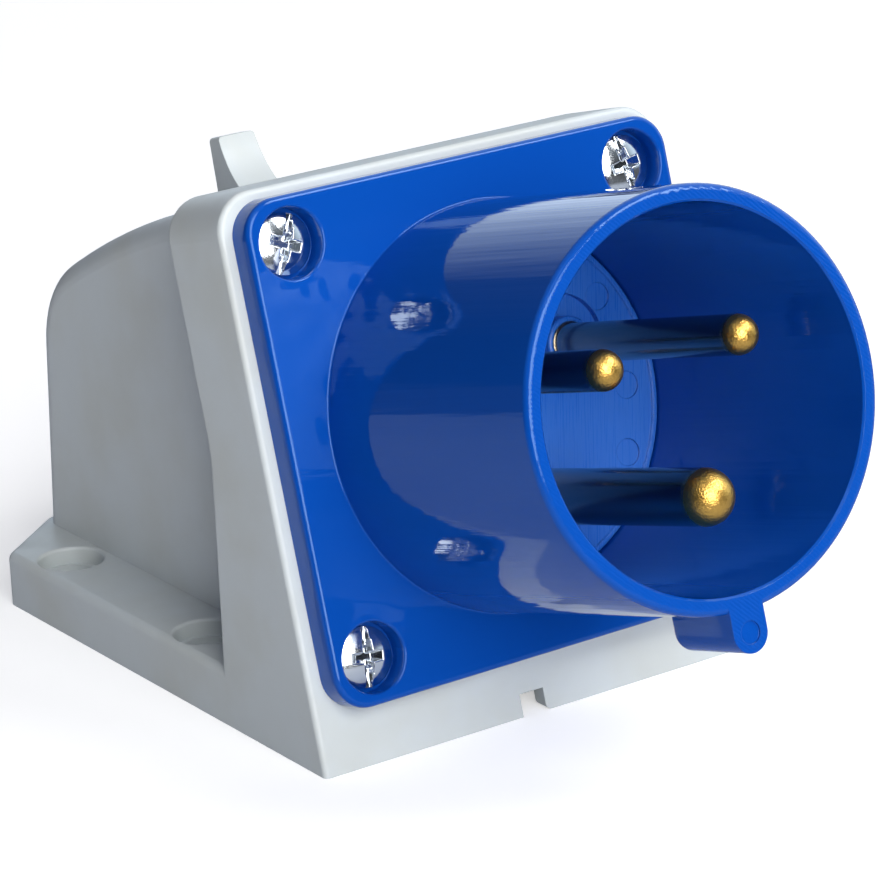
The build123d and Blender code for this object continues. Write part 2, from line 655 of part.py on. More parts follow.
def pin_carrier():
    """Insulating carrier: front disc with a low lip, seating flange and hub with the pin holes."""
    carrier = rod(BORE_R - CARRIER_GAP, CARRIER_BACK_OUT, CARRIER_FACE_OUT) + carrier_lip()
    carrier += rod(SEAT_R - CARRIER_FLANGE_GAP, CARRIER_BACK_OUT, CARRIER_FLANGE_OUT)
    carrier += rod(CARRIER_HUB_R, HUB_BACK_OUT, CARRIER_BACK_OUT)
    for spec in PINS.values():
        place = spec.place()
        recess = rod(spec.recess_r, CARRIER_FACE_OUT - PIN_RECESS_DEPTH, CARRIER_FACE_OUT + OVERCUT)
        ring = rod(spec.ring_r, CARRIER_BACK_OUT, CARRIER_FACE_OUT + PIN_RING_PROUD)
        ring = fillet(ring.faces().sort_by(Axis.Z)[-1].edges(), PIN_RING_EDGE_R)
        pin_hole = rod(spec.shoulder_r + PIN_CLEARANCE, HUB_BACK_OUT - OVERCUT, RIM_OUT)
        collar_seat = rod(spec.collar_r + COLLAR_CLEARANCE, HUB_BACK_OUT - OVERCUT,
                          HUB_BACK_OUT + PIN_COLLAR_THICKNESS)
        carrier -= place * recess
        carrier += place * ring
        carrier -= place * pin_hole
        carrier -= place * collar_seat
    pilot_end = RETAINER_BACK_OUT + RETAINER_SCREW_LENGTH + PILOT_SPARE
    for spot in retainer_screw_spots():
        carrier -= spot * rod(RETAINER_SCREW_R + THREAD_CLEARANCE, HUB_BACK_OUT - OVERCUT, pilot_end)
    for x, y in EJECTOR_MARKS:
        carrier -= Pos(x, y, 0) * rod(EJECTOR_MARK_R, CARRIER_FACE_OUT - EJECTOR_MARK_DEPTH,
                                      CARRIER_FACE_OUT + OVERCUT)
    return on_face(carrier)


def carrier_lip():
    """Low bevelled lip along the carrier's front edge."""
    outer = BORE_R - CARRIER_GAP
    inner = outer - CARRIER_LIP_WIDTH
    low = CARRIER_FACE_OUT - JOIN
    high = CARRIER_FACE_OUT + CARRIER_LIP_PROUD
    bevel = CARRIER_LIP_BEVEL
    outline = make_face(Polyline(
        (inner, low), (inner, high - bevel), (inner + bevel, high), (outer - bevel, high),
        (outer, high - bevel), (outer, low), close=True))
    return revolve(Plane.XZ * outline, Axis.Z)


def carrier_seal():
    """Flat rubber ring between the carrier's flange and its seat."""
    ring = rod(SEAT_R - SEAL_CLEARANCE, CARRIER_FLANGE_OUT, SEAT_OUT)
    return on_face(ring - rod(BORE_R, CARRIER_FLANGE_OUT - OVERCUT, SEAT_OUT + OVERCUT))


def pin_retainer():
    """Rear half of the carrier: a disc that traps the pin collars, with a chimney for each terminal."""
    retainer = rod(CARRIER_HUB_R, RETAINER_BACK_OUT, HUB_BACK_OUT)
    for spec in PINS.values():
        retainer += spec.place() * rod(chimney_r(spec), BARREL_BACK_OUT, HUB_BACK_OUT)
    access = Rot(0, 90, 0) * rod(TERMINAL_ACCESS_R, 0, CARRIER_HUB_R)
    for spec in PINS.values():
        bore = rod(spec.barrel_r + CHIMNEY_CLEARANCE, BARREL_BACK_OUT - OVERCUT, HUB_BACK_OUT + OVERCUT)
        retainer -= spec.place() * bore
        for out in terminal_depths():
            retainer -= spec.place() * Pos(0, 0, out) * access
    shank_hole = rod(RETAINER_SCREW_R + SHANK_CLEARANCE, RETAINER_BACK_OUT - OVERCUT, HUB_BACK_OUT + OVERCUT)
    for spot in retainer_screw_spots():
        retainer -= spot * shank_hole
    return on_face(retainer)


def chimney_r(spec):
    """Outer radius of the chimney round one terminal barrel."""
    return spec.barrel_r + CHIMNEY_CLEARANCE + CHIMNEY_WALL


# Screws


def cross_recess(width, length, depth):
    """Tapering cross for a driver, its mouth at z = 0 and pointing down."""
    arms = Rectangle(length, width) + Rectangle(width, length)
    tip = scale(arms, CROSS_TIP_RATIO)
    return loft([arms, Pos(0, 0, -depth) * tip], ruled=True)


def pan_head(radius, height, band):
    """Domed head standing on z = 0."""
    rise = height - band
    dome_r = (radius ** 2 + rise ** 2) / (2 * rise)
    half_angle = math.asin(radius / dome_r) / 2
    middle = (dome_r * math.sin(half_angle), height - dome_r * (1 - math.cos(half_angle)))
    outline = make_face([
        Polyline((0, height), (0, 0), (radius, 0), (radius, band)),
        ThreePointArc((radius, band), middle, (0, height)),
    ])
    return revolve(Plane.XZ * outline, Axis.Z)


def cover_screw():
    """Plated pan-head screw with a driver slot and cross, its head's seat at z = 0."""
    screw = pan_head(SCREW_HEAD_R, SCREW_HEAD_HEIGHT, SCREW_HEAD_BAND)
    screw += rod(SCREW_R, -SCREW_LENGTH + SCREW_RECESS_DEPTH, 0)
    mouth = Pos(0, 0, SCREW_HEAD_HEIGHT)
    screw -= mouth * Box(2 * SCREW_HEAD_R, SCREW_SLOT_WIDTH, 2 * SCREW_SLOT_DEPTH)
    return screw - mouth * cross_recess(SCREW_CROSS_WIDTH, SCREW_CROSS_LENGTH, SCREW_CROSS_DEPTH)


def cover_screws():
    """Four screws through the plate's corners, each left at its own angle."""
    seat = PLATE_THICKNESS - SCREW_RECESS_DEPTH
    screw = cover_screw()
    placed = []
    for spot, angle in zip(corner_spots(), SCREW_ANGLES):
        placed.append(on_face(spot * Pos(0, 0, seat) * Rot(0, 0, angle) * screw))
    return Compound(placed)


def retainer_screws():
    """Three screws that join the retainer to the carrier, heads to the rear."""
    screw = pan_head(RETAINER_HEAD_R, RETAINER_HEAD_HEIGHT, RETAINER_HEAD_BAND)
    screw += rod(RETAINER_SCREW_R, -RETAINER_SCREW_LENGTH, 0)
    screw -= Pos(0, 0, RETAINER_HEAD_HEIGHT) * cross_recess(
        DRIVER_SLOT_WIDTH, RETAINER_CROSS_LENGTH, DRIVER_SLOT_DEPTH)
    turned = Pos(0, 0, RETAINER_BACK_OUT) * Rot(180, 0, 0) * screw
    return Compound([on_face(spot * turned) for spot in retainer_screw_spots()])


# Cable entry


def entry_grommet():
    """Stepped rubber grommet with a closed end, its groove in the rear wall."""
    neck_r = ENTRY_R - GROMMET_CLEARANCE
    pad = ENTRY_PAD_THICKNESS
    points = [(0, 0), (neck_r - GROMMET_WALL, 0), (neck_r - GROMMET_WALL, -pad - GROMMET_TAIL),
              (neck_r, -pad - GROMMET_TAIL), (neck_r + GROMMET_WALL, -pad), (neck_r, -pad), (neck_r, 0),
              (GROMMET_LIP_R, 0), (GROMMET_LIP_R, GROMMET_LIP)]
    height = GROMMET_LIP
    for radius in GROMMET_STEP_RADII:
        points += [(radius, height), (radius, height + GROMMET_STEP)]
        height += GROMMET_STEP
    points.append((0, height))
    outline = make_face(Polyline(*points, close=True))
    solid = revolve(Plane.XZ * outline, Axis.Z)
    height = GROMMET_LIP - GROMMET_WALL
    bore = rod(neck_r - GROMMET_WALL, -OVERCUT, height / 2)
    for radius in GROMMET_STEP_RADII:
        bore += rod(radius - GROMMET_WALL, 0, height + GROMMET_STEP)
        height += GROMMET_STEP
    return Pos(0, rear_pad_y(), ENTRY_HEIGHT) * (Rot(-90, 0, 0) * (solid - bore))


def write(name, shape):
    """Write one node's solids."""
    export_step(shape, os.path.join("parts", name + ".step"))


def main():
    """Build every node."""
    os.makedirs("parts", exist_ok=True)
    write("housing", housing())
    write("face_gasket", face_gasket())
    write("inlet_shroud", inlet_shroud())
    write("carrier_seal", carrier_seal())
    write("pin_carrier", pin_carrier())
    write("pin_retainer", pin_retainer())
    for name, spec in PINS.items():
        write(name + "_pin", contact_pin(spec))
        write(name + "_terminal_screws", terminal_screws(spec))
        write(name + "_wire_guard", wire_guard(spec))
    write("cover_screws", cover_screws())
    write("retainer_screws", retainer_screws())
    write("entry_grommet", entry_grommet())


main()
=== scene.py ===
import json
import logging
import math
from dataclasses import dataclass, field
from enum import Enum
from typing import Any

import bmesh
import bpy
from mathutils import Matrix, Vector

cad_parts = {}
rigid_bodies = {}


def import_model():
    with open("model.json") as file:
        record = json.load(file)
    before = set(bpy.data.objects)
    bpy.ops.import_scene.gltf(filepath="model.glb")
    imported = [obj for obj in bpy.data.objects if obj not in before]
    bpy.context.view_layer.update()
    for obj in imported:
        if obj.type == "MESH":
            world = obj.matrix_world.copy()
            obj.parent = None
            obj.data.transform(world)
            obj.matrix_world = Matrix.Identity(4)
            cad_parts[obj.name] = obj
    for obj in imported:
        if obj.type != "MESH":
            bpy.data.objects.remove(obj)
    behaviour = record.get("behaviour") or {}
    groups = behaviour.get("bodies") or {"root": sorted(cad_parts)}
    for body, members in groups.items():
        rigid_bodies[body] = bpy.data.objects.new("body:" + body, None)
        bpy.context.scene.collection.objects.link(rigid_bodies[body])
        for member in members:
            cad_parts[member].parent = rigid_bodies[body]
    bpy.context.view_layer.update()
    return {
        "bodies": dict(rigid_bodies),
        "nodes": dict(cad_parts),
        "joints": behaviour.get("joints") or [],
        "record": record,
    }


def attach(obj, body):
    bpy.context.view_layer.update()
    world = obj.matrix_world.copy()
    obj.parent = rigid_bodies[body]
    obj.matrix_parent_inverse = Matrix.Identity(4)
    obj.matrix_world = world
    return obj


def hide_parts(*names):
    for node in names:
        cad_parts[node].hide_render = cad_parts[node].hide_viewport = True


LOG = logging.getLogger("inlet")
MM = 0.001
WHITE = "FFFFFF"
BEVEL_RAYS = 4
# At this scale the bands of a wave texture lie one metre apart
WAVE_BAND = 2 * math.pi / 20
# Vertices nearer than this, in metres, become one
MERGE_REACH = 1e-7
# Edges of turned and moulded pieces that are sharper than this stay sharp
SMOOTH_UP_TO = math.radians(40.0)

Tree = bpy.types.NodeTree
Socket = bpy.types.NodeSocket
Span = tuple[float, float]


def srgb_to_linear(hex_colour: str) -> tuple[float, float, float, float]:
    """Turn an sRGB hex colour into the linear values that a shader takes.

    The numbers in it are those of the sRGB curve.

    Args:
        hex_colour: Six hex digits, without a sign before them.

    Returns:
        Linear red, green and blue, and an alpha of one.
    """
    channels = [int(hex_colour[start:start + 2], 16) / 255 for start in (0, 2, 4)]
    linear = [c / 12.92 if c <= 0.04045 else ((c + 0.055) / 1.055) ** 2.4 for c in channels]
    return (linear[0], linear[1], linear[2], 1.0)


def add_node(tree: Tree, kind: str, inputs: dict[Any, Any] | None = None,
             **settings: Any) -> bpy.types.Node:
    """Add one shader node, with its settings and what feeds it.

    Some nodes name several inputs alike, so they are given by number: the Mix node takes
    numbers at 2 and 3 and colours at 6 and 7, and gives the colour at its output 2.

    Args:
        tree: The node tree that takes the node.
        kind: The node's type name, without the ShaderNode at its start.
        inputs: For each input's name or number, a value or the socket that feeds it.
        **settings: Properties of the node.

    Returns:
        The new node.
    """
    node = tree.nodes.new("ShaderNode" + kind)
    for name, value in settings.items():
        setattr(node, name, value)
    for key, value in (inputs or {}).items():
        if isinstance(value, Socket):
            tree.links.new(value, node.inputs[key])
        else:
            node.inputs[key].default_value = value
    return node


class Slot(Enum):
    """Material slots of the record that the pieces take their finish from."""

    HOUSING = "grey_moulding"
    SHROUD = "blue_moulding"
    INSULATOR = "insulator"
    RETAINER = "retainer_moulding"
    BRASS = "turned_brass"
    ZINC = "zinc_plated_steel"
    SPRING = "spring_steel"
    SEAL = "seal_rubber"
    GROMMET = "grommet_rubber"


@dataclass(frozen=True)
class FaceFrame:
    """Frame of the sloping face: x to the right, "up" along the face, "out" along the pins."""

    tilt: float = math.radians(15.0)
    foot_y: float = -52.8 * MM
    axis_up_face: float = 39.35 * MM

    @property
    def up(self) -> Vector:
        """Direction up along the face."""
        return Vector((0.0, math.sin(self.tilt), math.cos(self.tilt)))

    @property
    def out(self) -> Vector:
        """Direction of the pins."""
        return Vector((0.0, -math.cos(self.tilt), math.sin(self.tilt)))

    @property
    def centre(self) -> Vector:
        """Where the shroud's axis meets the housing's face."""
        return Vector((0.0, self.foot_y, 0.0)) + self.up * self.axis_up_face

    @property
    def matrix(self) -> Matrix:
        """Matrix from the face's frame to the frame of the whole object."""
        turn = Matrix((Vector((1.0, 0.0, 0.0)), self.up, self.out)).transposed()
        return Matrix.Translation(self.centre) @ turn.to_4x4()

    def coordinates(self, tree: Tree) -> tuple[Socket, Socket]:
        """Place of the shaded point in the face's frame.

        Args:
            tree: The material's node tree.

        Returns:
            The point as a vector socket in metres (x, up, out), and its out alone.
        """
        point = add_node(tree, "Mapping", {
            "Vector": add_node(tree, "TexCoord").outputs["Object"],
            "Location": self.centre,
            "Rotation": (math.pi / 2 - self.tilt, 0.0, 0.0),
        }, vector_type="TEXTURE").outputs[0]
        return point, add_node(tree, "SeparateXYZ", {0: point}).outputs["Z"]


@dataclass(frozen=True)
class PinSize:
    """Radius of a pin's shank and of its barrel, and how far its tip stands out of the face."""

    radius: float
    barrel_r: float
    tip_out: float

    @property
    def nose_out(self) -> float:
        """How far out the round nose starts."""
        return self.tip_out - self.radius


EARTH_SIZE = PinSize(radius=3.5 * MM, barrel_r=4.6 * MM, tip_out=45.6 * MM)
PHASE_SIZE = PinSize(radius=2.5 * MM, barrel_r=4.0 * MM, tip_out=43.1 * MM)


@dataclass(frozen=True)
class Finish:
    """Base of the finishes: a named material with one main shader and softened edges."""

    name: str
    colour: str
    roughness: float
    edge: float = 0.12 * MM

    def constants(self) -> dict[str, Any]:
        """Inputs of the main shader that are the same all over the surface."""
        return {"Base Color": srgb_to_linear(self.colour), "Roughness": self.roughness}

    def varied(self, tree: Tree, edges: Socket) -> dict[str, Socket]:
        """Add what varies over the surface.

        Args:
            tree: The material's node tree.
            edges: Normal that is rounded over at the edges.

        Returns:
            For each input of the main shader that varies, the socket that feeds it.
        """
        return {"Normal": edges}

    def material(self) -> bpy.types.Material:
        """Build the material.

        Returns:
            The finished material.
        """
        material = bpy.data.materials.new(self.name)
        material.use_nodes = True
        tree = material.node_tree
        tree.nodes.clear()
        shader = add_node(tree, "BsdfPrincipled", self.constants())
        # Tools and tumbling leave no edge quite sharp
        edges = add_node(tree, "Bevel", {"Radius": self.edge}, samples=BEVEL_RAYS).outputs[0]
        for name, socket in self.varied(tree, edges).items():
            tree.links.new(socket, shader.inputs[name])
        add_node(tree, "OutputMaterial", {"Surface": shader.outputs[0]})
        return material


@dataclass(frozen=True)
class SatinPolyamide(Finish):
    """Polyamide injection-moulded in a lightly textured tool.

    The tool's fine grain breaks up reflections into a soft sheen, the flow of the melt leaves the
    faintest clouds, and handling leaves a few small dull scuffs.
    """

    shade: str = "C6CBC8"
    cloud: float = 14.0 * MM
    cloud_range: Span = (0.35, 0.6)
    scuff: float = 3.0 * MM
    scuff_range: Span = (0.35, 0.75)
    smoother: float = 0.05
    rougher: float = 0.12
    grain: float = 0.35 * MM
    grain_height: float = 0.008 * MM

    def varied(self, tree: Tree, edges: Socket) -> dict[str, Socket]:
        """Add clouds to the colour, scuffs to the gloss and grain to the surface.

        Args:
            tree: The material's node tree.
            edges: Normal that is rounded over at the edges.

        Returns:
            For each input of the main shader that varies, the socket that feeds it.
        """
        point = add_node(tree, "TexCoord").outputs["Object"]
        cloud = add_node(tree, "TexNoise", {"Vector": point, "Scale": 1 / self.cloud, "Detail": 3.0})
        tint = add_node(tree, "ValToRGB", {"Fac": cloud.outputs["Fac"]})
        stops = zip(tint.color_ramp.elements, self.cloud_range, (self.shade, self.colour))
        for stop, position, colour in stops:
            stop.position = position
            stop.color = srgb_to_linear(colour)
        scuff = add_node(tree, "TexNoise", {"Vector": point, "Scale": 1 / self.scuff, "Detail": 6.0})
        gloss = add_node(tree, "MapRange", {
            "Value": scuff.outputs["Fac"],
            "From Min": self.scuff_range[0], "From Max": self.scuff_range[1],
            "To Min": self.roughness - self.smoother, "To Max": self.roughness + self.rougher})
        # The real grain, about 0.05 mm, is too fine to show, so it is drawn coarser
        grain = add_node(tree, "TexNoise", {"Vector": point, "Scale": 1 / self.grain, "Detail": 2.0})
        bump = add_node(tree, "Bump", {
            "Height": grain.outputs["Fac"], "Distance": self.grain_height, "Normal": edges})
        return {"Base Color": tint.outputs["Color"], "Roughness": gloss.outputs[0],
                "Normal": bump.outputs[0]}


@dataclass(frozen=True)
class Sink:
    """Patch of the face where thick plastic shrank in waves: its middle, reach and waves."""

    x: float
    up: float
    reach: float
    wave: float
    height: float

    def pattern(self, tree: Tree, point: Socket) -> Socket:
        """Waves that die away from the middle of the patch.

        Args:
            tree: The material's node tree.
            point: The shaded point in the face's frame.

        Returns:
            The pattern's socket.
        """
        away = add_node(tree, "VectorMath", {0: point, 1: (self.x, self.up, 0.0)}, operation="DISTANCE")
        nearness = add_node(tree, "MapRange", {
            "Value": away.outputs["Value"], "From Min": self.reach, "From Max": 0.0})
        ripple = add_node(tree, "TexNoise", {"Vector": point, "Scale": 1 / self.wave, "Detail": 0.0})
        return add_node(tree, "Math", {
            0: ripple.outputs["Fac"], 1: nearness.outputs[0]}, operation="MULTIPLY").outputs[0]


@dataclass(frozen=True)
class GlossPolyamide(Finish):
    """Polyamide injection-moulded in a polished tool.

    The surface mirrors like lacquer. Uneven shrinkage bends what it mirrors, most at the upper
    and the lower left of the plate. Faint draw marks from the tool run along the shroud, and its
    end carries the tool's fine slanting file marks.
    """

    face: FaceFrame = field(default_factory=FaceFrame)
    sheen: str = "BCE4FF"
    warp: float = 11.0 * MM
    warp_height: float = 0.05 * MM
    sinks: tuple[Sink, ...] = (
        Sink(x=-24.0 * MM, up=-22.0 * MM, reach=30.0 * MM, wave=6.0 * MM, height=0.26 * MM),
        Sink(x=-26.0 * MM, up=15.0 * MM, reach=16.0 * MM, wave=4.0 * MM, height=0.34 * MM))
    draw: float = 1.2 * MM
    draw_height: float = 0.055 * MM
    draw_shares: tuple[float, float, float] = (1.0, 1.0, 0.02)
    shroud_out: float = 4.2 * MM
    hatch_pitch: float = 0.32 * MM
    hatch_height: float = 0.015 * MM
    rim_out: float = 46.0 * MM
    rim_band: float = 0.05 * MM

    def constants(self) -> dict[str, Any]:
        """Inputs of the main shader that are the same all over, with the bluish sheen."""
        return {**super().constants(), "Specular Tint": srgb_to_linear(self.sheen)}

    def draw_marks(self, tree: Tree, point: Socket, out: Socket) -> Socket:
        """Faint marks along the shroud, where it was drawn off the tool.

        Args:
            tree: The material's node tree.
            point: The shaded point in the face's frame.
            out: How far out it is.

        Returns:
            The pattern's socket.
        """
        along = add_node(tree, "VectorMath", {0: point, 1: self.draw_shares}, operation="MULTIPLY")
        drawn = add_node(tree, "TexNoise", {
            "Vector": along.outputs[0], "Scale": 1 / self.draw, "Detail": 3.0})
        on_shroud = add_node(tree, "Math", {0: out, 1: self.shroud_out}, operation="GREATER_THAN")
        return add_node(tree, "Math", {
            0: drawn.outputs["Fac"], 1: on_shroud.outputs[0]}, operation="MULTIPLY").outputs[0]

    def file_marks(self, tree: Tree, point: Socket, out: Socket) -> Socket:
        """Fine slanting marks on the shroud's end.

        Args:
            tree: The material's node tree.
            point: The shaded point in the face's frame.
            out: How far out it is.

        Returns:
            The pattern's socket.
        """
        hatch = add_node(tree, "TexWave", {
            "Vector": point, "Scale": WAVE_BAND / self.hatch_pitch,
            "Distortion": 1.5, "Detail": 2.0, "Detail Scale": 2.0,
        }, wave_type="BANDS", bands_direction="DIAGONAL")
        on_rim = add_node(tree, "Math", {0: out, 1: self.rim_out - self.rim_band}, operation="GREATER_THAN")
        return add_node(tree, "Math", {
            0: hatch.outputs["Fac"], 1: on_rim.outputs[0]}, operation="MULTIPLY").outputs[0]

    def varied(self, tree: Tree, edges: Socket) -> dict[str, Socket]:
        """Add the shrinkage waves, the draw marks and the file marks, one over the other.

        Args:
            tree: The material's node tree.
            edges: Normal that is rounded over at the edges.

        Returns:
            For each input of the main shader that varies, the socket that feeds it.
        """
        point, out = self.face.coordinates(tree)
        warp = add_node(tree, "TexNoise", {"Vector": point, "Scale": 1 / self.warp, "Detail": 0.5})
        reliefs = [(warp.outputs["Fac"], self.warp_height)]
        reliefs += [(sink.pattern(tree, point), sink.height) for sink in self.sinks]
        reliefs.append((self.draw_marks(tree, point, out), self.draw_height))
        reliefs.append((self.file_marks(tree, point, out), self.hatch_height))
        normal = edges
        for pattern, height in reliefs:
            normal = add_node(tree, "Bump", {
                "Height": pattern, "Distance": height, "Normal": normal}).outputs[0]
        return {"Normal": normal}


@dataclass(frozen=True)
class GroundToolPolyamide(Finish):
    """Polyamide moulded against a steel face that was ground in one direction.

    Fine upright streaks dull the gloss and lie as a pale haze over the blue, in broad patches.
    """

    face: FaceFrame = field(default_factory=FaceFrame)
    lean: float = math.radians(12.6)
    streak: float = 0.16 * MM
    streak_height: float = 0.003 * MM
    streak_shares: tuple[float, float, float] = (1.0, 0.02, 1.0)
    streak_range: Span = (0.3, 0.7)
    smoother: float = 0.08
    rougher: float = 0.1
    haze: str = "477CCA"
    haze_patch: float = 12.0 * MM
    haze_range: Span = (0.4, 0.65)
    haze_shares: Span = (0.1, 0.55)

    def varied(self, tree: Tree, edges: Socket) -> dict[str, Socket]:
        """Add the upright streaks and their haze.

        Args:
            tree: The material's node tree.
            edges: Normal that is rounded over at the edges.

        Returns:
            For each input of the main shader that varies, the socket that feeds it.
        """
        point, _ = self.face.coordinates(tree)
        upright = add_node(tree, "Mapping", {"Vector": point, "Rotation": (0.0, 0.0, self.lean)})
        stretched = add_node(tree, "VectorMath", {
            0: upright.outputs[0], 1: self.streak_shares}, operation="MULTIPLY")
        streaks = add_node(tree, "TexNoise", {
            "Vector": stretched.outputs[0], "Scale": 1 / self.streak, "Detail": 3.0}).outputs["Fac"]
        patches = add_node(tree, "TexNoise", {
            "Vector": point, "Scale": 1 / self.haze_patch, "Detail": 2.0})
        thick = add_node(tree, "MapRange", {
            "Value": patches.outputs["Fac"],
            "From Min": self.haze_range[0], "From Max": self.haze_range[1],
            "To Min": self.haze_shares[0], "To Max": self.haze_shares[1]})
        veil = add_node(tree, "Math", {0: streaks, 1: thick.outputs[0]}, operation="MULTIPLY")
        colour = add_node(tree, "Mix", {
            0: veil.outputs[0], 6: srgb_to_linear(self.colour), 7: srgb_to_linear(self.haze),
        }, data_type="RGBA")
        gloss = add_node(tree, "MapRange", {
            "Value": streaks,
            "From Min": self.streak_range[0], "From Max": self.streak_range[1],
            "To Min": self.roughness - self.smoother, "To Max": self.roughness + self.rougher})
        bump = add_node(tree, "Bump", {
            "Height": streaks, "Distance": self.streak_height, "Normal": edges})
        return {"Base Color": colour.outputs[2], "Roughness": gloss.outputs[0],
                "Normal": bump.outputs[0]}


@dataclass(frozen=True)
class PlainMoulding(Finish):
    """Moulded rubber or plastic with a fine even grain, which keeps it matt."""

    grain: float = 0.3 * MM
    grain_height: float = 0.01 * MM

    def varied(self, tree: Tree, edges: Socket) -> dict[str, Socket]:
        """Add the grain.

        Args:
            tree: The material's node tree.
            edges: Normal that is rounded over at the edges.

        Returns:
            For each input of the main shader that varies, the socket that feeds it.
        """
        point = add_node(tree, "TexCoord").outputs["Object"]
        # The real grain, about 0.1 mm, is too fine to show, so it is drawn coarser
        grain = add_node(tree, "TexNoise", {"Vector": point, "Scale": 1 / self.grain, "Detail": 3.0})
        bump = add_node(tree, "Bump", {
            "Height": grain.outputs["Fac"], "Distance": self.grain_height, "Normal": edges})
        return {"Normal": bump.outputs[0]}


@dataclass(frozen=True)
class MetalFinish(Finish):
    """Metal whose making leaves fine marks and a slightly uneven gloss."""

    marks: float = 0.2 * MM
    marks_height: float = 0.002 * MM
    marks_range: Span = (0.35, 0.7)
    spread: float = 0.06

    def constants(self) -> dict[str, Any]:
        """Inputs of the main shader that are the same all over, as a metal has them."""
        return {**super().constants(), "Metallic": 1.0}

    def varied(self, tree: Tree, edges: Socket) -> dict[str, Socket]:
        """Add the marks and the uneven gloss.

        Args:
            tree: The material's node tree.
            edges: Normal that is rounded over at the edges.

        Returns:
            For each input of the main shader that varies, the socket that feeds it.
        """
        point = add_node(tree, "TexCoord").outputs["Object"]
        marks = add_node(tree, "TexNoise", {
            "Vector": point, "Scale": 1 / self.marks, "Detail": 4.0}).outputs["Fac"]
        gloss = add_node(tree, "MapRange", {
            "Value": marks,
            "From Min": self.marks_range[0], "From Max": self.marks_range[1],
            "To Min": self.roughness - self.spread, "To Max": self.roughness + self.spread})
        bump = add_node(tree, "Bump", {
            "Height": marks, "Distance": self.marks_height, "Normal": edges})
        return {"Roughness": gloss.outputs[0], "Normal": bump.outputs[0]}


@dataclass(frozen=True)
class TurnedBrass(MetalFinish):
    """Brass turned on a lathe.

    The shank is burnished and takes the colour of what it mirrors, with the faintest turning
    rings. The round nose is left satin, with fine specks where the form tool tore the metal.
    How far out the nose starts is given for each kind of pin.
    """

    face: FaceFrame = field(default_factory=FaceFrame)
    nose_out: float = 0.0
    nose_fade: Span = (-0.4 * MM, 0.5 * MM)
    shank_colour: str = "B0A592"
    shank_roughness: float = 0.17
    ring_pitch: float = 0.5 * MM
    ring_height: float = 0.0006 * MM
    speck: float = 0.26 * MM
    speck_height: float = 0.07 * MM

    def varied(self, tree: Tree, edges: Socket) -> dict[str, Socket]:
        """Set the satin nose off from the burnished shank.

        Args:
            tree: The material's node tree.
            edges: Normal that is rounded over at the edges.

        Returns:
            For each input of the main shader that varies, the socket that feeds it.
        """
        point, out = self.face.coordinates(tree)
        nose = add_node(tree, "MapRange", {
            "Value": out, "From Min": self.nose_out + self.nose_fade[0],
            "From Max": self.nose_out + self.nose_fade[1]}).outputs[0]
        colour = add_node(tree, "Mix", {
            0: nose, 6: srgb_to_linear(self.shank_colour), 7: srgb_to_linear(self.colour),
        }, data_type="RGBA")
        gloss = add_node(tree, "Mix", {0: nose, 2: self.shank_roughness, 3: self.roughness})
        rings = add_node(tree, "TexWave", {
            "Vector": point, "Scale": WAVE_BAND / self.ring_pitch, "Distortion": 0.6, "Detail": 1.0,
        }, wave_type="BANDS", bands_direction="Z")
        turned = add_node(tree, "Bump", {
            "Height": rings.outputs["Fac"], "Distance": self.ring_height, "Normal": edges})
        # The torn specks, about 0.1 mm, are too fine to show, so they are drawn coarser
        specks = add_node(tree, "TexNoise", {"Vector": point, "Scale": 1 / self.speck, "Detail": 2.0})
        torn = add_node(tree, "Math", {0: specks.outputs["Fac"], 1: nose}, operation="MULTIPLY")
        bump = add_node(tree, "Bump", {
            "Height": torn.outputs[0], "Distance": self.speck_height, "Normal": turned.outputs[0]})
        return {"Base Color": colour.outputs[2], "Roughness": gloss.outputs[0],
                "Normal": bump.outputs[0]}


@dataclass(frozen=True)
class Finishes:
    """Every finish of the object, with what the plainer ones give the eye."""

    housing: Finish = SatinPolyamide(
        "satin moulded polyamide", "CAD1D2", roughness=0.42, edge=0.18 * MM)
    shroud: Finish = GlossPolyamide(
        "gloss moulded polyamide", "0848A4", roughness=0.04, edge=0.15 * MM)
    insert: Finish = GroundToolPolyamide(
        "ground-tool moulded polyamide", "1C62C4", roughness=0.3, edge=0.2 * MM)
    # Hard and black, with a dull even gloss
    retainer: Finish = PlainMoulding("moulded phenolic", "1B1C1E", roughness=0.5)
    earth_brass: Finish = TurnedBrass(
        "turned brass", "E3B25A", roughness=0.3, nose_out=EARTH_SIZE.nose_out)
    phase_brass: Finish = TurnedBrass(
        "turned brass", "E3B25A", roughness=0.3, nose_out=PHASE_SIZE.nose_out)
    # Bright as chrome, a little bluish, with soft mirror images
    zinc: Finish = MetalFinish("bright zinc plating", "DCE0E4", roughness=0.14, edge=0.06 * MM)
    # Grey and smooth from the rolls, with blurred mirror images
    spring: Finish = MetalFinish("rolled spring steel", "B4B2AC", roughness=0.25)
    # Deep black and matt
    seal: Finish = PlainMoulding("moulded black rubber", "101011", roughness=0.65)
    # Middle grey, matt and a little waxy
    grommet: Finish = PlainMoulding("moulded grey rubber", "8B8E90", roughness=0.6)

    def by_slot(self) -> dict[Slot, Finish]:
        """The finish of each slot of the record."""
        return {
            Slot.HOUSING: self.housing, Slot.SHROUD: self.shroud, Slot.INSULATOR: self.insert,
            Slot.RETAINER: self.retainer, Slot.BRASS: self.earth_brass, Slot.ZINC: self.zinc,
            Slot.SPRING: self.spring, Slot.SEAL: self.seal, Slot.GROMMET: self.grommet}


@dataclass(frozen=True)
class Corner:
    """Corner of a turned outline: radius from the axis, height along it, and its rounding."""

    r: float
    z: float
    rounding: float = 0.0

    @property
    def point(self) -> Vector:
        """The corner before it is rounded."""
        return Vector((self.r, self.z))


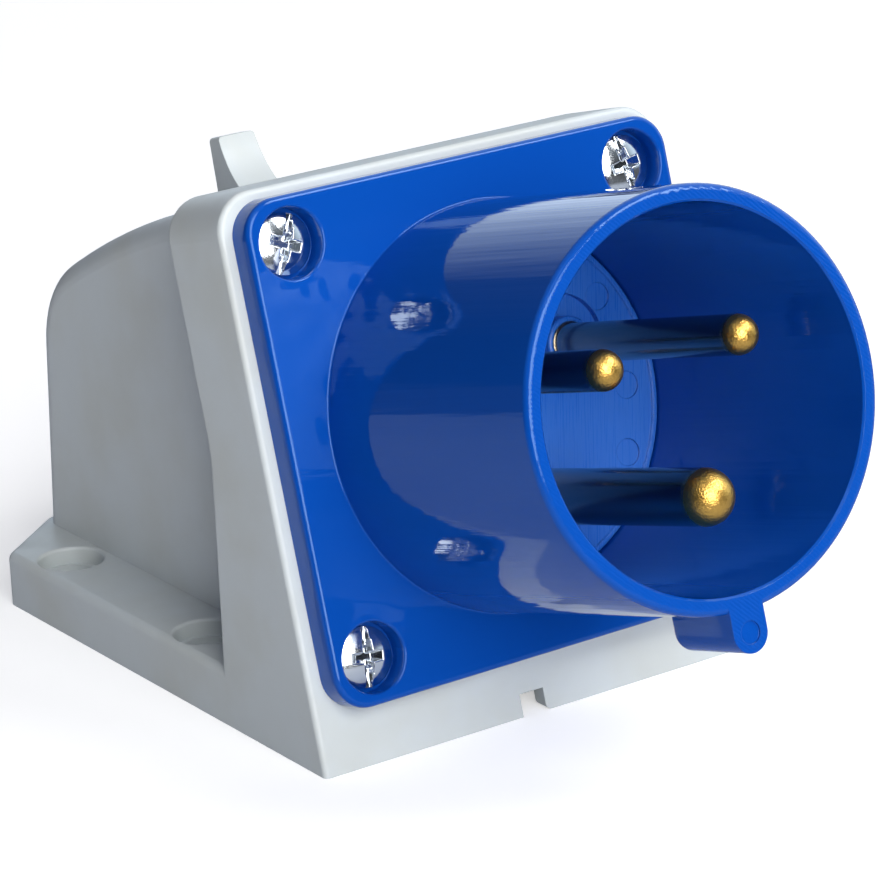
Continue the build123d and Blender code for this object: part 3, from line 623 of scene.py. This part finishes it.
def rounded_outline(corners: list[Corner], steps: int = 5) -> list[Vector]:
    """Round the corners of an outline.

    Args:
        corners: The outline's corners in order.
        steps: Number of straight lines in each rounding.

    Returns:
        Points (radius, height) of the rounded outline.
    """
    points = [corners[0].point]
    for before, corner, after in zip(corners, corners[1:], corners[2:]):
        tip = corner.point
        if corner.rounding == 0.0:
            points.append(tip)
            continue
        back = (before.point - tip).normalized()
        ahead = (after.point - tip).normalized()
        half = back.angle(ahead) / 2
        centre = tip + (back + ahead).normalized() * corner.rounding / math.sin(half)
        start = tip + back * corner.rounding / math.tan(half) - centre
        turn = math.pi - 2 * half
        sense = 1.0 if back.x * ahead.y - back.y * ahead.x < 0 else -1.0
        for step in range(steps + 1):
            angle = sense * turn * step / steps
            points.append(centre + Vector((
                start.x * math.cos(angle) - start.y * math.sin(angle),
                start.x * math.sin(angle) + start.y * math.cos(angle))))
    points.append(corners[-1].point)
    return points


@dataclass
class Shape:
    """Vertices and faces of one piece while it is being made."""

    vertices: list[Vector] = field(default_factory=list)
    faces: list[tuple[int, ...]] = field(default_factory=list)

    def ring(self, radius: float, height: float, segments: int) -> list[int]:
        """Add one ring of vertices round the z axis, or a single one on the axis.

        Args:
            radius: The ring's radius.
            height: The ring's height.
            segments: Number of vertices.

        Returns:
            The numbers of the vertices.
        """
        first = len(self.vertices)
        count = segments if radius > 0.0 else 1
        for k in range(count):
            angle = 2 * math.pi * k / count
            self.vertices.append(Vector((radius * math.cos(angle), radius * math.sin(angle), height)))
        return list(range(first, first + count))

    def lathe(self, corners: list[Corner], segments: int) -> None:
        """Turn an outline round the z axis.

        Args:
            corners: The outline's corners in order.
            segments: Number of faces round the axis.
        """
        rings = [self.ring(max(point.x, 0.0), point.y, segments) for point in rounded_outline(corners)]
        for low, high in zip(rings, rings[1:]):
            for k in range(segments):
                loop = [low[k % len(low)], low[(k + 1) % len(low)],
                        high[(k + 1) % len(high)], high[k % len(high)]]
                self.faces.append(tuple(dict.fromkeys(loop)))

    def move(self, matrix: Matrix) -> None:
        """Move the whole shape by a matrix."""
        self.vertices = [matrix @ vertex for vertex in self.vertices]

    def join(self, other: "Shape") -> None:
        """Take in the vertices and faces of another shape.

        Args:
            other: The other shape.
        """
        first = len(self.vertices)
        self.vertices += other.vertices
        self.faces += [tuple(first + k for k in loop) for loop in other.faces]

    def piece(self, name: str, finish: Finish, slot: Slot, crease: float = SMOOTH_UP_TO) -> None:
        """Turn the shape into a dressed piece that stands for the node of its name.

        Args:
            name: The node that the piece replaces.
            finish: What the piece is made of.
            slot: Material slot of the record; not used.
            crease: Edges sharper than this stay sharp.
        """
        mesh = bpy.data.meshes.new(name)
        mesh.from_pydata([tuple(vertex) for vertex in self.vertices], [], self.faces)
        form = bmesh.new()
        form.from_mesh(mesh)
        bmesh.ops.remove_doubles(form, verts=form.verts, dist=MERGE_REACH)
        bmesh.ops.recalc_face_normals(form, faces=form.faces)
        form.to_mesh(mesh)
        form.free()
        mesh.shade_smooth()
        mesh.set_sharp_from_angle(angle=crease)
        mesh.materials.append(finish.material())
        piece = bpy.data.objects.new(name + "_look", mesh)
        bpy.context.scene.collection.objects.link(piece)
        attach(piece, "root")
        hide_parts(name)
        LOG.info("built %s", name)


@dataclass
class ContactPin:
    """Turned pin: round nose, shank, shoulder, collar and drilled terminal barrel."""

    name: str
    angle: float
    size: PinSize
    finish: Finish
    circle_r: float = 11.6 * MM
    hub_back_out: float = -7.4 * MM
    collar_width: float = 0.9 * MM
    collar_thickness: float = 2.2 * MM
    shoulder_width: float = 0.2 * MM
    shoulder_out: float = 5.9 * MM
    barrel_length: float = 19.0 * MM
    wire_hole_depth: float = 15.5 * MM
    barrel_wall: float = 2.0 * MM
    edge: float = 0.2 * MM
    segments: int = 96

    def outline(self) -> list[Corner]:
        """Half section of the pin from the bottom of its wire hole to the start of its nose.

        Returns:
            The corners in order.
        """
        back = self.hub_back_out - self.barrel_length
        barrel_r = self.size.barrel_r
        hole_r = barrel_r - self.barrel_wall
        collar_r = barrel_r + self.collar_width
        collar_front = self.hub_back_out + self.collar_thickness
        shoulder_r = self.size.radius + self.shoulder_width
        return [
            Corner(0.0, back + self.wire_hole_depth),
            Corner(hole_r, back + self.wire_hole_depth),
            Corner(hole_r, back, self.edge),
            Corner(barrel_r, back, self.edge),
            Corner(barrel_r, self.hub_back_out),
            Corner(collar_r, self.hub_back_out, self.edge),
            Corner(collar_r, collar_front, self.edge),
            Corner(shoulder_r, collar_front),
            Corner(shoulder_r, self.shoulder_out, self.edge / 4),
            Corner(self.size.radius, self.shoulder_out),
            Corner(self.size.radius, self.size.nose_out),
        ]

    def nose(self, steps: int = 24) -> list[Corner]:
        """Quarter circle that rounds the tip off.

        Args:
            steps: Number of straight lines in it.

        Returns:
            The corners after the start of the nose.
        """
        radius, start = self.size.radius, self.size.nose_out
        angles = [math.pi / 2 * step / steps for step in range(1, steps)]
        curve = [Corner(radius * math.cos(a), start + radius * math.sin(a)) for a in angles]
        return curve + [Corner(0.0, self.size.tip_out)]

    def build(self, face: FaceFrame) -> None:
        """Turn the pin and stand it in the face.

        Args:
            face: The sloping face.
        """
        shape = Shape()
        shape.lathe(self.outline() + self.nose(), self.segments)
        spot = Vector((self.circle_r * math.cos(self.angle), self.circle_r * math.sin(self.angle), 0.0))
        shape.move(face.matrix @ Matrix.Translation(spot))
        shape.piece(self.name, self.finish, Slot.BRASS)


@dataclass
class PinSet:
    """The earth pin at the foot of the circle and the two thinner phase pins."""

    finishes: Finishes
    face: FaceFrame = field(default_factory=FaceFrame)

    def build(self) -> None:
        """Build the three pins."""
        earth, phase = self.finishes.earth_brass, self.finishes.phase_brass
        down, left, right = math.radians(-90.0), math.radians(150.0), math.radians(30.0)
        ContactPin("earth_pin", down, EARTH_SIZE, earth).build(self.face)
        ContactPin("live_pin", left, PHASE_SIZE, phase).build(self.face)
        ContactPin("neutral_pin", right, PHASE_SIZE, phase).build(self.face)


@dataclass
class CoverScrews:
    """Four cold-headed screws with a slot and a cross, each left at its own angle."""

    finishes: Finishes
    face: FaceFrame = field(default_factory=FaceFrame)
    spacing: float = 51.6 * MM
    seat_out: float = 0.8 * MM
    angles: tuple[float, ...] = (66.0, 100.0, 20.0, 84.0)
    head_r: float = 3.8 * MM
    head_height: float = 1.8 * MM
    head_band: float = 1.0 * MM
    shank_r: float = 1.95 * MM
    shank_length: float = 10.1 * MM
    shank_end: float = 0.3 * MM
    slot_width: float = 1.0 * MM
    slot_depth: float = 1.1 * MM
    slot_steepness: float = 8.0
    cross_reach: float = 2.4 * MM
    cross_width: float = 1.4 * MM
    cross_depth: float = 1.5 * MM
    cross_taper: float = 0.55
    blend: float = 0.14 * MM
    cells: int = 100
    segments: int = 96
    crease: float = math.radians(60.0)

    def recess(self, x: float, y: float) -> float:
        """Height of the slot's and cross's walls and floors over one point of the head.

        Args:
            x: Place along the slot.
            y: Place across the slot.

        Returns:
            Height over the head's seat.
        """
        x, y = abs(x), abs(y)
        run = self.cross_depth / self.cross_taper
        half = self.cross_width / 2
        depth = max(
            min((1 - x / self.cross_reach) * run, (1 - y / half) * run),
            min((1 - y / self.cross_reach) * run, (1 - x / half) * run))
        depth = min(depth, self.cross_depth)
        wall = (self.slot_width / 2 - y) * self.slot_steepness
        return self.head_height - max(depth, min(wall, self.slot_depth))

    def height(self, x: float, y: float) -> float:
        """Height of the head's surface, its edges rounded where the punch drew the metal in.

        Args:
            x: Place along the slot.
            y: Place across the slot.

        Returns:
            Height over the head's seat.
        """
        rise = self.head_height - self.head_band
        dome_r = (self.head_r ** 2 + rise ** 2) / (2 * rise)
        dome = self.head_height - dome_r + math.sqrt(dome_r ** 2 - min(x * x + y * y, self.head_r ** 2))
        low = self.recess(x, y)
        near = max(self.blend - abs(dome - low), 0.0) / self.blend
        return min(dome, low) - near * near * self.blend / 4

    def top(self, u: float, v: float) -> Vector:
        """Point of the head's surface over a square that is drawn out to the round head.

        Args:
            u: Place along the slot, from -1 to 1.
            v: Place across the slot, from -1 to 1.

        Returns:
            The point.
        """
        x = self.head_r * u * math.sqrt(1 - v * v / 2)
        y = self.head_r * v * math.sqrt(1 - u * u / 2)
        return Vector((x, y, self.height(x, y)))

    def screw(self) -> Shape:
        """One screw, its seat at z = 0 and its slot along x.

        Returns:
            The screw's shape.
        """
        shape = Shape()
        count = self.cells + 1
        for row in range(count):
            for column in range(count):
                shape.vertices.append(self.top(2 * column / self.cells - 1, 2 * row / self.cells - 1))
        for row in range(self.cells):
            for column in range(self.cells):
                corner = row * count + column
                shape.faces.append((corner, corner + 1, corner + count + 1, corner + count))
        shape.lathe([
            Corner(self.head_r, self.head_band),
            Corner(self.head_r, 0.0, self.blend / 2),
            Corner(self.shank_r, 0.0),
            Corner(self.shank_r, -self.shank_length, self.shank_end),
            Corner(0.0, -self.shank_length),
        ], self.segments)
        return shape

    def build(self) -> None:
        """Build the four screws as one piece."""
        half = self.spacing / 2
        spots = [(-half, half), (half, half), (half, -half), (-half, -half)]
        screws = Shape()
        for spot, angle in zip(spots, self.angles):
            one = self.screw()
            turn = Matrix.Rotation(math.radians(angle), 4, "Z")
            one.move(self.face.matrix @ Matrix.Translation((*spot, self.seat_out)) @ turn)
            screws.join(one)
        screws.piece("cover_screws", self.finishes.zinc, Slot.ZINC, self.crease)


@dataclass
class EntryGrommet:
    """Stepped rubber grommet with a closed end, its groove in the rear wall."""

    finishes: Finishes
    seat: Vector = Vector((0.0, 34.4, 21.0)) * MM
    neck_r: float = 8.3 * MM
    wall: float = 1.1 * MM
    groove: float = 3.9 * MM
    tail: float = 1.4 * MM
    lip_r: float = 10.5 * MM
    lip: float = 1.6 * MM
    step: float = 1.6 * MM
    step_radii: tuple[float, ...] = (7.4 * MM, 5.8 * MM, 4.2 * MM)
    edge: float = 0.3 * MM
    segments: int = 128

    def outline(self) -> list[Corner]:
        """Half section from the inside of the closed end, round the tail, to the outside.

        Returns:
            The corners in order.
        """
        inner_r = self.neck_r - self.wall
        height = self.lip - self.wall
        inside = [Corner(inner_r, height / 2), Corner(inner_r, -self.groove - self.tail, self.edge)]
        for radius in self.step_radii:
            low = inside[0].z
            height += self.step
            inside = [Corner(radius - self.wall, height), Corner(radius - self.wall, low)] + inside
        outline = [Corner(0.0, height)] + inside + [
            Corner(self.neck_r, -self.groove - self.tail, self.edge),
            Corner(self.neck_r + self.wall, -self.groove, self.edge / 2),
            Corner(self.neck_r, -self.groove),
            Corner(self.neck_r, 0.0),
            Corner(self.lip_r, 0.0),
            Corner(self.lip_r, self.lip, self.edge)]
        height = self.lip
        for radius in self.step_radii:
            outline += [Corner(radius, height), Corner(radius, height + self.step, self.edge)]
            height += self.step
        return outline + [Corner(0.0, height)]

    def build(self) -> None:
        """Turn the grommet and lay it in the rear wall."""
        shape = Shape()
        shape.lathe(self.outline(), self.segments)
        shape.move(Matrix.Translation(self.seat) @ Matrix.Rotation(-math.pi / 2, 4, "X"))
        shape.piece("entry_grommet", self.finishes.grommet, Slot.GROMMET)


@dataclass
class Mouldings:
    """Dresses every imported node, also those that a drawn piece then stands for."""

    finishes: Finishes

    def build(self, frame: dict[str, Any]) -> None:
        """Dress each node by the slot that the record gives it.

        Args:
            frame: The loaded frame.
        """
        made = {slot: finish.material() for slot, finish in self.finishes.by_slot().items()}
        for subpart in frame["record"]["subparts"]:
            node = frame["nodes"][subpart["node"]]
            node.data.materials.clear()
            node.data.materials.append(made[Slot(subpart["material_slot"])])
            LOG.info("dressed %s", node.name)


@dataclass(frozen=True)
class SoftBox:
    """Soft box, a square-cornered lamp that faces the object.

    The direction points from the object to the lamp, the distance and the size are in metres,
    and the level is the share of the light at which a facing colour renders as written.
    """

    name: str
    direction: tuple[float, float, float]
    distance: float
    size: tuple[float, float]
    level: float

    def hang(self, target: Vector) -> None:
        """Hang the lamp.

        Args:
            target: The place it faces.
        """
        data = bpy.data.lights.new(self.name, "AREA")
        data.shape = "RECTANGLE"
        data.size, data.size_y = self.size
        data.energy = self.level * math.pi ** 2 * self.distance ** 2
        lamp = bpy.data.objects.new(self.name, data)
        towards = Vector(self.direction).normalized()
        lamp.location = target + towards * self.distance
        lamp.rotation_euler = towards.to_track_quat("Z", "Y").to_euler()
        bpy.context.scene.collection.objects.link(lamp)


@dataclass
class Studio:
    """Pale floor, soft lamps, white surroundings and the camera."""

    lens_mm: float = 169.06
    sensor_mm: float = 36.0
    camera_at: Vector = Vector((-283.42, -451.26, 205.54)) * MM
    aim_at: Vector = Vector((0.0, -32.43, 30.11)) * MM
    roll: float = math.radians(2.636)
    clip: Span = (0.01, 50.0)
    floor_half: float = 6.0
    floor_colour: str = "E0E0E0"
    floor_roughness: float = 0.9
    floor_specular: float = 0.2
    floor_mirrored: str = "B8C0CC"
    floor_beyond: str = "1C2026"
    fibre: float = 2.0 * MM
    fibre_height: float = 0.01 * MM
    table_reach: Span = (0.27, 0.33)
    floor_glow: float = 0.52
    floor_glow_mirrored: float = 0.05
    backdrop_side: tuple[float, float, float] = (0.90, 0.35, 0.20)
    backdrop_range: Span = (0.3, 0.8)
    backdrop_level: float = 1.7
    ceiling_range: Span = (0.2, 0.8)
    ceiling_level: float = 0.3
    room_level: float = 0.02
    ambient: float = 0.13
    sky: str = "D2D8FF"
    sheet: str = "DCEEFF"
    soft_boxes: tuple[SoftBox, ...] = (
        SoftBox("key soft box", direction=(0.45, -0.50, 0.74),
                distance=2.2, size=(0.9, 0.9), level=0.48),
        SoftBox("front soft box", direction=(-0.20, -0.88, 0.43),
                distance=1.8, size=(1.2, 1.5), level=1.14),
        SoftBox("overhead soft box", direction=(-0.35, -0.30, 0.88),
                distance=1.6, size=(0.5, 0.5), level=0.03))

    def camera(self) -> None:
        """Stand the camera where the photograph was taken from."""
        data = bpy.data.cameras.new("camera")
        data.lens = self.lens_mm
        data.sensor_width = self.sensor_mm
        data.clip_start, data.clip_end = self.clip
        forward = (self.aim_at - self.camera_at).normalized()
        level_right = forward.cross(Vector((0.0, 0.0, 1.0))).normalized()
        level_up = level_right.cross(forward)
        up = level_up * math.cos(self.roll) + level_right * math.sin(self.roll)
        right = forward.cross(up)
        camera = bpy.data.objects.new("camera", data)
        turn = Matrix((right, up, -forward)).transposed()
        camera.matrix_world = Matrix.Translation(self.camera_at) @ turn.to_4x4()
        bpy.context.scene.collection.objects.link(camera)
        bpy.context.scene.camera = camera

    @staticmethod
    def looked_at(tree: Tree) -> Socket:
        """Tell what looks at the surroundings.

        Args:
            tree: The node tree of the floor or the world.

        Returns:
            One for the camera, for mirrors and through glass, and zero for light on matt surfaces.
        """
        ray = add_node(tree, "LightPath").outputs
        mirrored = add_node(tree, "Math", {
            0: ray["Is Glossy Ray"], 1: ray["Is Transmission Ray"]}, operation="MAXIMUM")
        return add_node(tree, "Math", {
            0: ray["Is Camera Ray"], 1: mirrored.outputs[0]}, operation="MAXIMUM").outputs[0]

    def paper(self) -> bpy.types.Material:
        """Matt paper of the floor, which glows a little so that the camera sees it white.

        Returns:
            The material.
        """
        material = bpy.data.materials.new("matt paper")
        material.use_nodes = True
        tree = material.node_tree
        tree.nodes.clear()
        point = add_node(tree, "TexCoord").outputs["Object"]
        fibres = add_node(tree, "TexNoise", {"Vector": point, "Scale": 1 / self.fibre, "Detail": 4.0})
        bump = add_node(tree, "Bump", {"Height": fibres.outputs["Fac"], "Distance": self.fibre_height})
        ray = add_node(tree, "LightPath").outputs
        glow_mirrored = add_node(tree, "Math", {
            0: self.looked_at(tree), 1: self.floor_glow_mirrored}, operation="MULTIPLY")
        glow = add_node(tree, "Mix", {
            0: ray["Is Camera Ray"], 2: glow_mirrored.outputs[0], 3: self.floor_glow})
        # In a mirror the pale paper ends behind the object, where the room goes dark
        away = add_node(tree, "VectorMath", {0: point}, operation="LENGTH")
        beyond = add_node(tree, "MapRange", {
            "Value": away.outputs["Value"],
            "From Min": self.table_reach[0], "From Max": self.table_reach[1]})
        in_mirror = add_node(tree, "Mix", {
            0: beyond.outputs[0], 6: srgb_to_linear(self.floor_mirrored),
            7: srgb_to_linear(self.floor_beyond),
        }, data_type="RGBA")
        colour = add_node(tree, "Mix", {
            0: ray["Is Glossy Ray"], 6: srgb_to_linear(self.floor_colour), 7: in_mirror.outputs[2],
        }, data_type="RGBA")
        paper = add_node(tree, "BsdfPrincipled", {
            "Base Color": colour.outputs[2],
            "Roughness": self.floor_roughness,
            "Specular IOR Level": self.floor_specular,
            "Normal": bump.outputs[0],
            "Emission Color": srgb_to_linear(WHITE),
            "Emission Strength": glow.outputs[0]})
        add_node(tree, "OutputMaterial", {"Surface": paper.outputs[0]})
        return material

    def floor(self) -> None:
        """Lay the pale floor that takes the object's shadow."""
        half = self.floor_half
        corners = [(-half, -half, 0), (half, -half, 0), (half, half, 0), (-half, half, 0)]
        mesh = bpy.data.meshes.new("floor")
        mesh.from_pydata(corners, [], [(0, 1, 2, 3)])
        mesh.materials.append(self.paper())
        floor = bpy.data.objects.new("floor", mesh)
        bpy.context.scene.collection.objects.link(floor)

    def surroundings(self) -> None:
        """Make the world.

        The camera sees white, matt surfaces take an even light from all round, and mirrors see
        a white backdrop to the right and a dim room with a paler ceiling.
        """
        world = bpy.data.worlds.new("studio")
        world.use_nodes = True
        tree = world.node_tree
        tree.nodes.clear()
        direction = add_node(tree, "TexCoord").outputs["Generated"]
        facing = add_node(tree, "VectorMath", {
            0: direction, 1: Vector(self.backdrop_side).normalized()}, operation="DOT_PRODUCT")
        backdrop = add_node(tree, "MapRange", {
            "Value": facing.outputs["Value"],
            "From Min": self.backdrop_range[0], "From Max": self.backdrop_range[1],
            "To Min": 0.0, "To Max": self.backdrop_level})
        room = add_node(tree, "MapRange", {
            "Value": add_node(tree, "SeparateXYZ", {0: direction}).outputs["Z"],
            "From Min": self.ceiling_range[0], "From Max": self.ceiling_range[1],
            "To Min": self.room_level, "To Max": self.ceiling_level})
        mirrored = add_node(tree, "Math", {
            0: backdrop.outputs[0], 1: room.outputs[0]}, operation="MAXIMUM")
        camera = add_node(tree, "LightPath").outputs["Is Camera Ray"]
        picture = add_node(tree, "Mix", {0: camera, 2: mirrored.outputs[0], 3: 1.0})
        seen = self.looked_at(tree)
        strength = add_node(tree, "Mix", {0: seen, 2: self.ambient, 3: picture.outputs[0]})
        sheet = add_node(tree, "Mix", {
            0: camera, 6: srgb_to_linear(self.sheet), 7: srgb_to_linear(WHITE)}, data_type="RGBA")
        colour = add_node(tree, "Mix", {
            0: seen, 6: srgb_to_linear(self.sky), 7: sheet.outputs[2]}, data_type="RGBA")
        light = add_node(tree, "Background", {
            "Color": colour.outputs[2], "Strength": strength.outputs[0]})
        add_node(tree, "OutputWorld", {"Surface": light.outputs[0]})
        bpy.context.scene.world = world

    def build(self) -> None:
        """Set up everything round the object."""
        bpy.context.scene.view_settings.view_transform = "Standard"
        self.camera()
        self.floor()
        self.surroundings()
        for soft_box in self.soft_boxes:
            soft_box.hang(self.aim_at)
        LOG.info("set up the studio")


def main() -> None:
    """Build the studio, the mouldings, the pins, the screws and the grommet."""
    logging.basicConfig(level=logging.INFO, format="%(message)s")
    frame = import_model()
    Studio().build()
    finishes = Finishes()
    Mouldings(finishes).build(frame)
    PinSet(finishes).build()
    CoverScrews(finishes).build()
    EntryGrommet(finishes).build()


if __name__ == "__main__":
    main()
